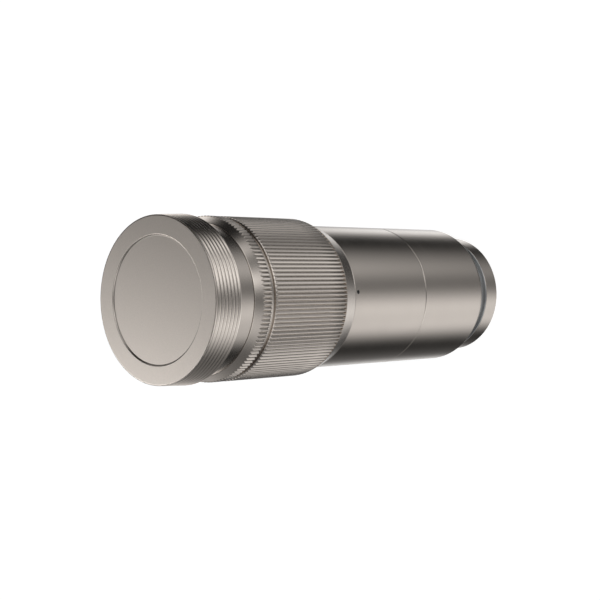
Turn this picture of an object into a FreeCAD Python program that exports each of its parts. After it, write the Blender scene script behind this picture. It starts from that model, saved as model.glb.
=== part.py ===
import FreeCAD, Part
import math
import os

# Clip-on telephoto lens for a phone: an afocal converter in a turned metal barrel, standing on its
# rear collar. +Z runs along the optical axis from the phone side to the front cap, and the origin is
# the centre of the collar's rear face. All sizes are millimetres. Radii are built up from the two
# lens groups outwards, and lengths from the rear face forwards.

# Outer lengths along the axis, from the rear face to the front face
COLLAR_LENGTH = 6.5
NECK_LENGTH = 5.5
REAR_BARREL_LENGTH = 32.6
MAIN_BARREL_LENGTH = 35.5
FRONT_BAND_LENGTH = 7.1
CAP_LENGTH = 9.5

# Edge breaks
BARREL_END_CHAMFER = 1.1
EDGE_BREAK = 0.3
SEAM_BREAK = 0.12

# Clearances
RUNNING_CLEARANCE = 0.05
THREAD_CLEARANCE = 0.02
LENS_CLEARANCE = 0.05
FACE_GAP = 0.2
END_PLAY = 0.05
CAP_FACE_GAP = 0.3
CUT_MARGIN = 0.5

# Radial steps outwards from the objective's seat
OBJECTIVE_RADIUS = 19.5
HELICOID_WALL = 2.0
BARREL_STEP = 0.9
BAND_STEP = 1.0
GRIP_WALL = 2.9
SLEEVE_WALL = 2.05
NOSE_STEP = 0.6
SKIRT_WALL = 1.4
BARREL_WALL = 2.4
SPIGOT_STEP = 1.4
RETAINER_STEP = 0.5
FILTER_THREAD_WALL = 1.41

# Radial steps outwards from the rear lens seat
REAR_LENS_RADIUS = 11.0
REAR_RETAINER_STEP = 0.5
REAR_CELL_WALL = 1.5
REAR_CELL_STEP = 1.0
COLLAR_SPIGOT_WALL = 3.0
NECK_STEP = 1.6
COLLAR_STEP = 1.0
COLLAR_WALL = 4.1

# Focus ring, outside, from its rear end to its front end
REAR_CONE_LENGTH = 6.1
GRIP_LENGTH = 30.9
GRIP_GROOVE_WIDTH = 2.0
FRONT_GRIP_LENGTH = 3.05
FRONT_CONE_LENGTH = 2.25
GRIP_RIB_COUNT = 120
GRIP_RIB_DEPTH = 0.42
GRIP_RIB_CREST = 0.3
GRIP_EDGE_BREAK = 0.5
GRIP_GROOVE_DEPTH = 1.0
REAR_CONE_STEP = 0.05

# Focus ring, inside: a flange trapped on the barrel's nose, and the helicoid in front of it
FLANGE_HEIGHT = 20.0
FLANGE_THICKNESS = 4.0
WASHER_THICKNESS = 0.4
CLAMP_RING_THICKNESS = 2.4
FOCUS_TURN = 150.0
FOCUS_TRAVEL = 5.0

# Objective barrel: helicoid, skirt, lens seat and front bore
HELICOID_GAP = 0.9
SKIRT_LENGTH = 24.0
SEAT_WEB = 3.7
RETAINER_THICKNESS = 3.0
RETAINER_WALL = 1.4
RETAINER_NOTCH_WIDTH = 1.2
FILTER_THREAD_LENGTH = 4.5
KEYWAY_CLEARANCE = 0.05
KEYWAY_END = 8.0
CELL_BAFFLE_THICKNESS = 1.6
CELL_BAFFLE_LIP = 0.6
CELL_BAFFLE_WIDTH = 2.5

# Guide screws and stop pin
GUIDE_SCREW_COUNT = 3
GUIDE_SCREW_RADIUS = 1.0
GUIDE_SCREW_REACH = 0.9
GUIDE_HEAD_RADIUS = 1.7
GUIDE_HEAD_HEIGHT = 1.0
GUIDE_SCREW_ANGLE = 90.0
STOP_PIN_RADIUS = 1.0
STOP_PIN_ANGLE = 30.0
STOP_PIN_INSET = 0.1
STOP_GAP = 0.3
SLOT_WIDTH = 0.4
SLOT_DEPTH = 0.4

# Objective lens: radii of curvature, centre thicknesses and the spacer
FRONT_LENS_CURVE_FRONT = 110.0
FRONT_LENS_CURVE_REAR = 400.0
FRONT_LENS_THICKNESS = 7.0
DOUBLET_CURVE_FRONT = 90.0
DOUBLET_CURVE_BOND = 130.0
CROWN_THICKNESS = 8.0
FLINT_THICKNESS = 2.5
OBJECTIVE_AIR_GAP = 1.0
SPACER_WALL = 1.2

# Main barrel and its seam with the rear barrel
SPIGOT_LENGTH = 6.0
SEAM_BAFFLE_THICKNESS = 1.0
SEAM_BAFFLE_WIDTH = 7.0
GUIDE_BORE_START = 2.0
INDEX_MARK_RADIUS = 0.62
INDEX_MARK_DEPTH = 0.35
INDEX_MARK_ANGLE = -90.0
INDEX_MARK_OFFSET = 1.3

# Rear barrel's end wall, the collar inside and the rear lens cell
END_WALL_THICKNESS = 4.0
SOCKET_DEPTH = 4.6
COLLAR_WEB_THICKNESS = 2.4
COLLAR_WEB_STEP = 0.5
REAR_CELL_LIP = 1.6
REAR_CELL_LEDGE = 2.0
REAR_CELL_RIM = 2.2
REAR_RETAINER_THICKNESS = 2.5

# Rear lens group
MENISCUS_CURVE_REAR = 38.0
MENISCUS_CURVE_FRONT = 80.0
MENISCUS_THICKNESS = 1.8
REAR_SPACER_LENGTH = 5.0
REAR_BOND_CURVE = 45.0
REAR_CURVE_FRONT = 55.0
REAR_POSITIVE_THICKNESS = 3.6
REAR_NEGATIVE_THICKNESS = 1.6

# Threaded boss that screws into the phone's case, and its three screws
BOSS_RADIUS = 8.5
BOSS_LENGTH = 2.6
BOSS_WALL = 1.7
FLANGE_PLATE_THICKNESS = 1.6
FLANGE_PLATE_CLEARANCE = 0.1
BOSS_SCREW_COUNT = 3
BOSS_SCREW_RADIUS = 0.8
BOSS_SCREW_LENGTH = 3.8
BOSS_SCREW_HEAD_RADIUS = 1.45

# Front cap
CAP_GROOVE_COUNT = 7
CAP_GROOVE_DEPTH = 0.42
CAP_RIDGE_STEP = 0.65
CAP_RIDGE_CREST = 0.3
CAP_END_RIDGE = 0.25
CAP_WALL = 0.87
CAP_FACE_THICKNESS = 2.2
CAP_FACE_RIM = 5.35
CAP_RECESS_DEPTH = 0.5
CAP_RECESS_SLOPE = 0.35
LINING_THICKNESS = 0.6
LINING_LENGTH = 5.5
LINING_CLEARANCE = 0.08

# Heights worked out from the lengths
BARREL_REAR_Z = COLLAR_LENGTH + NECK_LENGTH
SEAM_Z = BARREL_REAR_Z + REAR_BARREL_LENGTH
BARREL_FRONT_Z = SEAM_Z + MAIN_BARREL_LENGTH
RING_REAR_Z = BARREL_FRONT_Z + FACE_GAP
GRIP_REAR_Z = RING_REAR_Z + REAR_CONE_LENGTH
GRIP_FRONT_Z = GRIP_REAR_Z + GRIP_LENGTH
FRONT_GRIP_Z = GRIP_FRONT_Z + GRIP_GROOVE_WIDTH
FRONT_CONE_Z = FRONT_GRIP_Z + FRONT_GRIP_LENGTH
RING_FRONT_Z = FRONT_CONE_Z + FRONT_CONE_LENGTH
BAND_REAR_Z = RING_FRONT_Z + FACE_GAP
CAP_REAR_Z = BAND_REAR_Z + FRONT_BAND_LENGTH
CAP_FACE_Z = CAP_REAR_Z + CAP_LENGTH
CAP_INNER_Z = CAP_FACE_Z - CAP_FACE_THICKNESS
RIM_Z = CAP_INNER_Z - CAP_FACE_GAP

FLANGE_REAR_Z = BARREL_FRONT_Z + FLANGE_HEIGHT
FLANGE_FRONT_Z = FLANGE_REAR_Z + END_PLAY + FLANGE_THICKNESS
WASHER_Z = FLANGE_FRONT_Z + END_PLAY
CLAMP_Z = WASHER_Z + WASHER_THICKNESS
NOSE_FRONT_Z = CLAMP_Z + CLAMP_RING_THICKNESS
HELICOID_REAR_Z = NOSE_FRONT_Z + HELICOID_GAP
SEAT_Z = HELICOID_REAR_Z + SEAT_WEB
SKIRT_REAR_Z = HELICOID_REAR_Z - SKIRT_LENGTH
GUIDE_SCREW_Z = SKIRT_REAR_Z + CELL_BAFFLE_THICKNESS + FOCUS_TRAVEL + GUIDE_HEAD_RADIUS + EDGE_BREAK
KEYWAY_LENGTH = GUIDE_SCREW_Z - SKIRT_REAR_Z + KEYWAY_END
STOP_PIN_Z = FLANGE_REAR_Z + (FLANGE_THICKNESS + END_PLAY) / 2
SPIGOT_FRONT_Z = SEAM_Z + SPIGOT_LENGTH
END_WALL_FRONT_Z = BARREL_REAR_Z + END_WALL_THICKNESS
FLANGE_PLATE_Z = SOCKET_DEPTH - FLANGE_PLATE_THICKNESS

# Radii worked out from the objective's seat
LENS_RADIUS = OBJECTIVE_RADIUS - LENS_CLEARANCE
SLEEVE_RADIUS = OBJECTIVE_RADIUS + HELICOID_WALL
BARREL_RADIUS = SLEEVE_RADIUS + BARREL_STEP
FRONT_BAND_RADIUS = SLEEVE_RADIUS + BAND_STEP
RING_BORE = SLEEVE_RADIUS + RUNNING_CLEARANCE
GRIP_RADIUS = RING_BORE + GRIP_WALL
GRIP_ROOT_RADIUS = GRIP_RADIUS - GRIP_RIB_DEPTH
NOSE_RADIUS = SLEEVE_RADIUS - NOSE_STEP
FLANGE_BORE = NOSE_RADIUS + RUNNING_CLEARANCE
GUIDE_BORE = SLEEVE_RADIUS - SLEEVE_WALL
SKIRT_RADIUS = GUIDE_BORE - RUNNING_CLEARANCE
SKIRT_BORE = SKIRT_RADIUS - SKIRT_WALL
BARREL_BORE = BARREL_RADIUS - BARREL_WALL
SPIGOT_RADIUS = BARREL_RADIUS - SPIGOT_STEP
CELL_BAFFLE_RADIUS = SKIRT_BORE + CELL_BAFFLE_LIP
RETAINER_RADIUS = OBJECTIVE_RADIUS + RETAINER_STEP
RETAINER_BORE = RETAINER_RADIUS - RETAINER_WALL
FILTER_THREAD_RADIUS = FRONT_BAND_RADIUS - FILTER_THREAD_WALL
LINING_BORE = FRONT_BAND_RADIUS + LINING_CLEARANCE
CAP_BORE = LINING_BORE + LINING_THICKNESS
CAP_EDGE_RADIUS = CAP_BORE + CAP_WALL
CAP_RECESS_RADIUS = CAP_EDGE_RADIUS - CAP_FACE_RIM
CAP_RIDGE_PITCH = (CAP_LENGTH - 2 * CAP_END_RIDGE) / CAP_GROOVE_COUNT

# Radii worked out from the rear lens seat
REAR_GLASS_RADIUS = REAR_LENS_RADIUS - LENS_CLEARANCE
REAR_CELL_APERTURE = REAR_LENS_RADIUS - REAR_CELL_LEDGE
REAR_RETAINER_RADIUS = REAR_LENS_RADIUS + REAR_RETAINER_STEP
REAR_CELL_NECK_RADIUS = REAR_RETAINER_RADIUS + REAR_CELL_WALL
REAR_CELL_RADIUS = REAR_CELL_NECK_RADIUS + REAR_CELL_STEP
COLLAR_WEB_APERTURE = REAR_CELL_APERTURE + COLLAR_WEB_STEP
COLLAR_SPIGOT_RADIUS = REAR_CELL_RADIUS + COLLAR_SPIGOT_WALL
NECK_RADIUS = COLLAR_SPIGOT_RADIUS + NECK_STEP
COLLAR_RADIUS = NECK_RADIUS + COLLAR_STEP
SOCKET_RADIUS = COLLAR_RADIUS - COLLAR_WALL
BOSS_SCREW_CIRCLE = (BOSS_RADIUS + SOCKET_RADIUS) / 2


def sag(curve, radius):
    """Depth of a spherical surface of the given radius of curvature, at a distance from its axis."""
    return curve - math.sqrt(curve * curve - radius * radius)


# Lens surfaces of the objective, each by the height of its vertex, and the rings that touch them
FLINT_FRONT_VERTEX = SEAT_Z + FLINT_THICKNESS
CROWN_FRONT_VERTEX = FLINT_FRONT_VERTEX + CROWN_THICKNESS
FRONT_LENS_REAR_VERTEX = CROWN_FRONT_VERTEX + OBJECTIVE_AIR_GAP
FRONT_LENS_FRONT_VERTEX = FRONT_LENS_REAR_VERTEX + FRONT_LENS_THICKNESS
FRONT_LENS_EDGE_Z = FRONT_LENS_FRONT_VERTEX - sag(FRONT_LENS_CURVE_FRONT, LENS_RADIUS)
SPACER_BORE = OBJECTIVE_RADIUS - SPACER_WALL
SPACER_REAR_Z = CROWN_FRONT_VERTEX - sag(DOUBLET_CURVE_FRONT, SPACER_BORE)
SPACER_FRONT_Z = FRONT_LENS_REAR_VERTEX + sag(FRONT_LENS_CURVE_REAR, SPACER_BORE)
RETAINER_REAR_Z = FRONT_LENS_FRONT_VERTEX - sag(FRONT_LENS_CURVE_FRONT, RETAINER_BORE)
RETAINER_FRONT_Z = RETAINER_REAR_Z + RETAINER_THICKNESS

# The same for the rear group
COLLAR_WEB_FRONT_Z = SOCKET_DEPTH + COLLAR_WEB_THICKNESS
REAR_SEAT_Z = COLLAR_WEB_FRONT_Z + REAR_CELL_LIP
MENISCUS_REAR_VERTEX = REAR_SEAT_Z + sag(MENISCUS_CURVE_REAR, REAR_GLASS_RADIUS)
MENISCUS_FRONT_VERTEX = MENISCUS_REAR_VERTEX + MENISCUS_THICKNESS
REAR_SPACER_BORE = REAR_LENS_RADIUS - SPACER_WALL
REAR_SPACER_Z = MENISCUS_FRONT_VERTEX - sag(MENISCUS_CURVE_FRONT, REAR_SPACER_BORE)
REAR_DOUBLET_Z = REAR_SPACER_Z + REAR_SPACER_LENGTH
REAR_BOND_VERTEX = REAR_DOUBLET_Z + REAR_POSITIVE_THICKNESS
REAR_FRONT_VERTEX = REAR_BOND_VERTEX + REAR_NEGATIVE_THICKNESS
REAR_RETAINER_Z = REAR_FRONT_VERTEX + sag(REAR_CURVE_FRONT, REAR_GLASS_RADIUS)
REAR_CELL_FRONT_Z = REAR_RETAINER_Z + REAR_RETAINER_THICKNESS + REAR_CELL_RIM

AXIS_POINT = FreeCAD.Vector(0, 0, 0)
AXIS_DIRECTION = FreeCAD.Vector(0, 0, 1)


def point(radius, height):
    """A point of a turned profile, in the XZ plane."""
    return FreeCAD.Vector(radius, 0, height)


def revolve(edges):
    """The solid turned about the axis from a closed profile's edges."""
    face = Part.Face(Part.Wire(edges))
    return face.revolve(AXIS_POINT, AXIS_DIRECTION, 360).Solids[0]


def turned(*corners):
    """The solid turned about the axis from the (radius, height) corners of its profile."""
    points = [point(radius, height) for radius, height in corners]
    points.append(points[0])
    return revolve([Part.LineSegment(a, b).toShape() for a, b in zip(points, points[1:])])


def ring(inner, outer, rear, front):
    """A plain ring between two radii and two heights."""
    return turned((inner, rear), (outer, rear), (outer, front), (inner, front))


def about_axis(shape, angle):
    """A copy of the shape turned about the axis by an angle in degrees."""
    copy = shape.copy()
    copy.rotate(AXIS_POINT, AXIS_DIRECTION, angle)
    return copy


def radial_pin(radius, inner, outer, height, angle):
    """A round pin that lies along a radius, from one distance from the axis to another."""
    direction = FreeCAD.Vector(1, 0, 0)
    pin = Part.makeCylinder(radius, outer - inner, FreeCAD.Vector(inner, 0, height), direction)
    return about_axis(pin, angle)


def centred_box(length_x, length_y, length_z, corner_x, height):
    """A box from a distance along X, centred in Y and standing on a height."""
    corner = FreeCAD.Vector(corner_x, -length_y / 2, height)
    return Part.makeBox(length_x, length_y, length_z, corner)


def spherical_edge(curve, bulge, vertex, radius):
    """The profile arc of a lens surface from the axis to its rim; bulge is +1 if it rises at the axis."""
    middle = radius / 2
    rim = vertex - bulge * sag(curve, radius)
    halfway = vertex - bulge * sag(curve, middle)
    return Part.Arc(point(0, vertex), point(middle, halfway), point(radius, rim)).toShape()


def flat_edge(vertex, radius):
    """The profile line of a flat lens surface from the axis to its rim."""
    return Part.LineSegment(point(0, vertex), point(radius, vertex)).toShape()


def lens(rear_edge, front_edge):
    """A lens element turned from its rear and front surfaces' profiles."""
    rear_rim = rear_edge.Vertexes[-1].Point
    front_rim = front_edge.Vertexes[-1].Point
    rear_vertex = rear_edge.Vertexes[0].Point
    front_vertex = front_edge.Vertexes[0].Point
    side = Part.LineSegment(rear_rim, front_rim).toShape()
    axis = Part.LineSegment(front_vertex, rear_vertex).toShape()
    return revolve([rear_edge, side, front_edge, axis])


def spanner_notches(solid, outer, front, depth):
    """The ring with two spanner notches across its front face."""
    width = RETAINER_NOTCH_WIDTH
    bar = Part.makeBox(2 * outer, width, depth, FreeCAD.Vector(-outer, -width / 2, front - depth))
    return solid.cut(bar)


def grip_prism(rear, front):
    """A prism of straight ribs around the axis, a V groove on the +X side and on the index side."""
    pitch = 2 * math.pi / GRIP_RIB_COUNT
    crest = GRIP_RIB_CREST / GRIP_RADIUS / 2
    corners = []
    for index in range(GRIP_RIB_COUNT):
        middle = (index + 0.5) * pitch
        for angle, radius in (
            (middle - crest, GRIP_RADIUS),
            (middle + crest, GRIP_RADIUS),
            (middle + pitch / 2, GRIP_ROOT_RADIUS),
        ):
            corners.append(FreeCAD.Vector(radius * math.cos(angle), radius * math.sin(angle), rear))
    corners.append(corners[0])
    return Part.Face(Part.makePolygon(corners)).extrude(FreeCAD.Vector(0, 0, front - rear))


def grip(rear, front, front_radius, slope):
    """A band of ribs with its front end cut to a cone: its radius at the front, and its slope behind."""
    core = RING_BORE + RUNNING_CLEARANCE
    reach = GRIP_RADIUS + CUT_MARGIN
    shape = turned(
        (core, rear),
        (reach, rear),
        (reach, front - (reach - front_radius) / slope),
        (front_radius, front),
        (core, front),
    )
    return grip_prism(rear, front).common(shape)


def focus_ring():
    """The knurled sleeve: rear cone, long grip, groove, short grip and front cone, one turned piece."""
    groove = GRIP_RADIUS - GRIP_GROOVE_DEPTH
    flange_rear = FLANGE_REAR_Z + END_PLAY
    body = turned(
        (RING_BORE, RING_REAR_Z),
        (BARREL_RADIUS + SEAM_BREAK, RING_REAR_Z),
        (GRIP_RADIUS - REAR_CONE_STEP, GRIP_REAR_Z),
        (groove, GRIP_REAR_Z),
        (groove, FRONT_CONE_Z),
        (FRONT_BAND_RADIUS, RING_FRONT_Z),
        (RING_BORE, RING_FRONT_Z),
        (RING_BORE, FLANGE_FRONT_Z),
        (FLANGE_BORE, FLANGE_FRONT_Z),
        (FLANGE_BORE, flange_rear),
        (RING_BORE, flange_rear),
    )
    long_grip = grip(GRIP_REAR_Z, GRIP_FRONT_Z, GRIP_RADIUS - GRIP_EDGE_BREAK, 1)
    front_slope = (GRIP_RADIUS - FRONT_BAND_RADIUS) / FRONT_CONE_LENGTH
    short_grip = grip(FRONT_GRIP_Z, RING_FRONT_Z, FRONT_BAND_RADIUS, front_slope)
    return body.multiFuse([long_grip, short_grip]).cut(stop_recess()).removeSplitter()


def stop_recess():
    """The arc cut from the flange in which the stop pin runs, from one end of the turn to the other."""
    margin = math.degrees((STOP_PIN_RADIUS + STOP_GAP) / NOSE_RADIUS)
    height = FLANGE_THICKNESS + 2 * END_PLAY
    base = FreeCAD.Vector(0, 0, FLANGE_REAR_Z)
    wedge = Part.makeCylinder(RING_BORE, height, base, AXIS_DIRECTION, FOCUS_TURN + 2 * margin)
    core = Part.makeCylinder(NOSE_RADIUS, height, base)
    return about_axis(wedge.cut(core), STOP_PIN_ANGLE - margin)


def main_barrel():
    """The smooth barrel, the sleeve under the focus ring and the nose that the flange turns on."""
    body = turned(
        (SPIGOT_RADIUS, SEAM_Z),
        (BARREL_RADIUS - SEAM_BREAK, SEAM_Z),
        (BARREL_RADIUS, SEAM_Z + SEAM_BREAK),
        (BARREL_RADIUS, BARREL_FRONT_Z - SEAM_BREAK),
        (BARREL_RADIUS - SEAM_BREAK, BARREL_FRONT_Z),
        (SLEEVE_RADIUS, BARREL_FRONT_Z),
        (SLEEVE_RADIUS, FLANGE_REAR_Z),
        (NOSE_RADIUS, FLANGE_REAR_Z),
        (NOSE_RADIUS, NOSE_FRONT_Z),
        (GUIDE_BORE, NOSE_FRONT_Z),
        (GUIDE_BORE, BARREL_FRONT_Z + GUIDE_BORE_START),
        (BARREL_BORE, BARREL_FRONT_Z),
        (BARREL_BORE, SPIGOT_FRONT_Z + SEAM_BAFFLE_THICKNESS),
        (SPIGOT_RADIUS, SPIGOT_FRONT_Z + SEAM_BAFFLE_THICKNESS),
    )
    cuts = [index_dimple()]
    for angle in guide_screw_angles():
        cuts.append(radial_pin(GUIDE_SCREW_RADIUS, SKIRT_BORE, BARREL_RADIUS, GUIDE_SCREW_Z, angle))
        seat = SLEEVE_RADIUS - GUIDE_HEAD_HEIGHT - EDGE_BREAK
        cuts.append(radial_pin(GUIDE_HEAD_RADIUS, seat, BARREL_RADIUS, GUIDE_SCREW_Z, angle))
    cuts.append(radial_pin(STOP_PIN_RADIUS, SKIRT_RADIUS, BARREL_RADIUS, STOP_PIN_Z, STOP_PIN_ANGLE))
    return body.cut(cuts)


def index_dimple():
    """The round hole for the enamel of the index mark."""
    height = BARREL_FRONT_Z - INDEX_MARK_OFFSET
    floor = BARREL_RADIUS - INDEX_MARK_DEPTH
    return radial_pin(INDEX_MARK_RADIUS, floor, BARREL_RADIUS + CUT_MARGIN, height, INDEX_MARK_ANGLE)


def index_mark():
    """The enamel that fills the dimple, its top following the barrel."""
    skin = Part.makeCylinder(BARREL_RADIUS - THREAD_CLEARANCE, BARREL_FRONT_Z)
    return index_dimple().common(skin)


def guide_screw_angles():
    """Where the guide screws stand around the axis."""
    return [GUIDE_SCREW_ANGLE + 360 * index / GUIDE_SCREW_COUNT for index in range(GUIDE_SCREW_COUNT)]


def guide_screw(angle):
    """A slotted cheese-head screw whose tip keys the objective barrel."""
    seat = SLEEVE_RADIUS - GUIDE_HEAD_HEIGHT - EDGE_BREAK
    tip = SKIRT_RADIUS - GUIDE_SCREW_REACH
    shank = radial_pin(GUIDE_SCREW_RADIUS, tip, seat, GUIDE_SCREW_Z, 0)
    head_radius = GUIDE_HEAD_RADIUS - RUNNING_CLEARANCE
    head = radial_pin(head_radius, seat, seat + GUIDE_HEAD_HEIGHT, GUIDE_SCREW_Z, 0)
    slot_floor = seat + GUIDE_HEAD_HEIGHT - SLOT_DEPTH
    slot_height = GUIDE_SCREW_Z - SLOT_WIDTH / 2
    slot = centred_box(SLOT_DEPTH, 2 * GUIDE_HEAD_RADIUS, SLOT_WIDTH, slot_floor, slot_height)
    return about_axis(shank.fuse(head).cut(slot), angle)


def stop_pin():
    """The dowel in the nose that ends the focus ring's turn."""
    inner = GUIDE_BORE + STOP_PIN_INSET
    outer = RING_BORE - STOP_PIN_INSET
    return radial_pin(STOP_PIN_RADIUS, inner, outer, STOP_PIN_Z, STOP_PIN_ANGLE)


def friction_washer():
    """The plain washer between the flange and the clamp ring."""
    outer = SLEEVE_RADIUS - RUNNING_CLEARANCE
    return ring(NOSE_RADIUS + THREAD_CLEARANCE, outer, WASHER_Z, WASHER_Z + WASHER_THICKNESS)


def clamp_ring():
    """The notched ring that screws onto the nose and traps the focus ring's flange."""
    outer = SLEEVE_RADIUS - RUNNING_CLEARANCE
    body = ring(NOSE_RADIUS + THREAD_CLEARANCE, outer, CLAMP_Z, NOSE_FRONT_Z)
    return spanner_notches(body, outer, NOSE_FRONT_Z, CLAMP_RING_THICKNESS / 2)


def objective_barrel():
    """The piece that focuses: skirt with keyways, helicoid, lens seat, filter thread and front band."""
    bevel = FILTER_THREAD_RADIUS - RETAINER_RADIUS
    thread_z = RIM_Z - FILTER_THREAD_LENGTH
    body = turned(
        (CELL_BAFFLE_RADIUS, SKIRT_REAR_Z),
        (SKIRT_RADIUS, SKIRT_REAR_Z),
        (SKIRT_RADIUS, HELICOID_REAR_Z),
        (SLEEVE_RADIUS, HELICOID_REAR_Z),
        (SLEEVE_RADIUS, BAND_REAR_Z),
        (FRONT_BAND_RADIUS - SEAM_BREAK, BAND_REAR_Z),
        (FRONT_BAND_RADIUS, BAND_REAR_Z + SEAM_BREAK),
        (FRONT_BAND_RADIUS, RIM_Z - EDGE_BREAK),
        (FRONT_BAND_RADIUS - EDGE_BREAK, RIM_Z),
        (FILTER_THREAD_RADIUS, RIM_Z),
        (FILTER_THREAD_RADIUS, thread_z),
        (RETAINER_RADIUS, thread_z - bevel),
        (RETAINER_RADIUS, FRONT_LENS_EDGE_Z),
        (OBJECTIVE_RADIUS, FRONT_LENS_EDGE_Z),
        (OBJECTIVE_RADIUS, SEAT_Z),
        (SKIRT_BORE, SEAT_Z),
        (SKIRT_BORE, SKIRT_REAR_Z + CELL_BAFFLE_THICKNESS),
        (CELL_BAFFLE_RADIUS, SKIRT_REAR_Z + CELL_BAFFLE_THICKNESS),
    )
    width = 2 * (GUIDE_SCREW_RADIUS + KEYWAY_CLEARANCE)
    inner = SKIRT_BORE - CUT_MARGIN
    depth = SKIRT_RADIUS + CUT_MARGIN - inner
    slot = centred_box(depth, width, KEYWAY_LENGTH, inner, SKIRT_REAR_Z)
    slots = [about_axis(slot, angle) for angle in guide_screw_angles()]
    return body.cut(slots)


def cell_baffle():
    """The glare stop in the rear end of the skirt, with a thin edge at its aperture."""
    front = SKIRT_REAR_Z + CELL_BAFFLE_THICKNESS
    return turned(
        (SKIRT_BORE - CELL_BAFFLE_WIDTH, front),
        (SKIRT_BORE, SKIRT_REAR_Z),
        (CELL_BAFFLE_RADIUS - THREAD_CLEARANCE, SKIRT_REAR_Z),
        (CELL_BAFFLE_RADIUS - THREAD_CLEARANCE, front),
    )


def doublet_flint():
    """The rear half of the cemented doublet, flat on its rear side."""
    bond = spherical_edge(DOUBLET_CURVE_BOND, -1, FLINT_FRONT_VERTEX, LENS_RADIUS)
    return lens(flat_edge(SEAT_Z, LENS_RADIUS), bond)


def doublet_crown():
    """The front half of the cemented doublet, convex on both sides."""
    bond = spherical_edge(DOUBLET_CURVE_BOND, -1, FLINT_FRONT_VERTEX, LENS_RADIUS)
    front = spherical_edge(DOUBLET_CURVE_FRONT, 1, CROWN_FRONT_VERTEX, LENS_RADIUS)
    return lens(bond, front)


def front_element():
    """The large single lens behind the cap."""
    rear = spherical_edge(FRONT_LENS_CURVE_REAR, -1, FRONT_LENS_REAR_VERTEX, LENS_RADIUS)
    front = spherical_edge(FRONT_LENS_CURVE_FRONT, 1, FRONT_LENS_FRONT_VERTEX, LENS_RADIUS)
    return lens(rear, front)


def objective_spacer():
    """The ring that keeps the doublet and the front element apart."""
    return ring(SPACER_BORE, LENS_RADIUS, SPACER_REAR_Z, SPACER_FRONT_Z)


def front_retaining_ring():
    """The notched ring that holds the objective's lenses on their seat."""
    outer = RETAINER_RADIUS - THREAD_CLEARANCE
    body = turned(
        (RETAINER_BORE, RETAINER_REAR_Z),
        (outer, RETAINER_REAR_Z),
        (outer, RETAINER_FRONT_Z),
        (RETAINER_BORE + EDGE_BREAK, RETAINER_FRONT_Z),
        (RETAINER_BORE, RETAINER_FRONT_Z - EDGE_BREAK),
    )
    return spanner_notches(body, outer, RETAINER_FRONT_Z, RETAINER_THICKNESS / 3)


def seam_baffle():
    """The glare stop trapped between the two barrels at their seam."""
    inner = BARREL_BORE - SEAM_BAFFLE_WIDTH
    outer = SPIGOT_RADIUS - THREAD_CLEARANCE
    return ring(inner, outer, SPIGOT_FRONT_Z, SPIGOT_FRONT_Z + SEAM_BAFFLE_THICKNESS)


def rear_barrel():
    """The rear half of the smooth barrel, with its end wall and the spigot into the front half."""
    spigot = SPIGOT_RADIUS - THREAD_CLEARANCE
    return turned(
        (COLLAR_SPIGOT_RADIUS, BARREL_REAR_Z),
        (BARREL_RADIUS - BARREL_END_CHAMFER, BARREL_REAR_Z),
        (BARREL_RADIUS, BARREL_REAR_Z + BARREL_END_CHAMFER),
        (BARREL_RADIUS, SEAM_Z - SEAM_BREAK),
        (BARREL_RADIUS - SEAM_BREAK, SEAM_Z),
        (spigot, SEAM_Z),
        (spigot, SPIGOT_FRONT_Z),
        (BARREL_BORE, SPIGOT_FRONT_Z),
        (BARREL_BORE, END_WALL_FRONT_Z),
        (COLLAR_SPIGOT_RADIUS, END_WALL_FRONT_Z),
    )


def mount_collar():
    """The rear collar, its neck and spigot, with the socket for the phone's threaded ring."""
    spigot = COLLAR_SPIGOT_RADIUS - THREAD_CLEARANCE
    body = turned(
        (SOCKET_RADIUS, 0),
        (COLLAR_RADIUS - EDGE_BREAK, 0),
        (COLLAR_RADIUS, EDGE_BREAK),
        (COLLAR_RADIUS, COLLAR_LENGTH - EDGE_BREAK),
        (COLLAR_RADIUS - EDGE_BREAK, COLLAR_LENGTH),
        (NECK_RADIUS, COLLAR_LENGTH),
        (NECK_RADIUS, BARREL_REAR_Z),
        (spigot, BARREL_REAR_Z),
        (spigot, END_WALL_FRONT_Z),
        (REAR_CELL_RADIUS, END_WALL_FRONT_Z),
        (REAR_CELL_RADIUS, COLLAR_WEB_FRONT_Z),
        (COLLAR_WEB_APERTURE, COLLAR_WEB_FRONT_Z),
        (COLLAR_WEB_APERTURE, SOCKET_DEPTH),
        (SOCKET_RADIUS, SOCKET_DEPTH),
    )
    holes = [boss_screw_shank(index) for index in range(BOSS_SCREW_COUNT)]
    return body.cut(holes)


def rear_cell():
    """The tube that holds the rear lenses, screwed into the collar."""
    outer = REAR_CELL_RADIUS - THREAD_CLEARANCE
    return turned(
        (REAR_CELL_APERTURE, COLLAR_WEB_FRONT_Z),
        (outer, COLLAR_WEB_FRONT_Z),
        (outer, END_WALL_FRONT_Z),
        (REAR_CELL_NECK_RADIUS, END_WALL_FRONT_Z),
        (REAR_CELL_NECK_RADIUS, REAR_CELL_FRONT_Z),
        (REAR_RETAINER_RADIUS + EDGE_BREAK, REAR_CELL_FRONT_Z),
        (REAR_RETAINER_RADIUS, REAR_CELL_FRONT_Z - EDGE_BREAK),
        (REAR_RETAINER_RADIUS, REAR_RETAINER_Z),
        (REAR_LENS_RADIUS, REAR_RETAINER_Z),
        (REAR_LENS_RADIUS, REAR_SEAT_Z),
        (REAR_CELL_APERTURE, REAR_SEAT_Z),
    )


def rear_meniscus():
    """The lens next to the phone, hollow towards it."""
    rear = spherical_edge(MENISCUS_CURVE_REAR, 1, MENISCUS_REAR_VERTEX, REAR_GLASS_RADIUS)
    front = spherical_edge(MENISCUS_CURVE_FRONT, 1, MENISCUS_FRONT_VERTEX, REAR_GLASS_RADIUS)
    return lens(rear, front)


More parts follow.
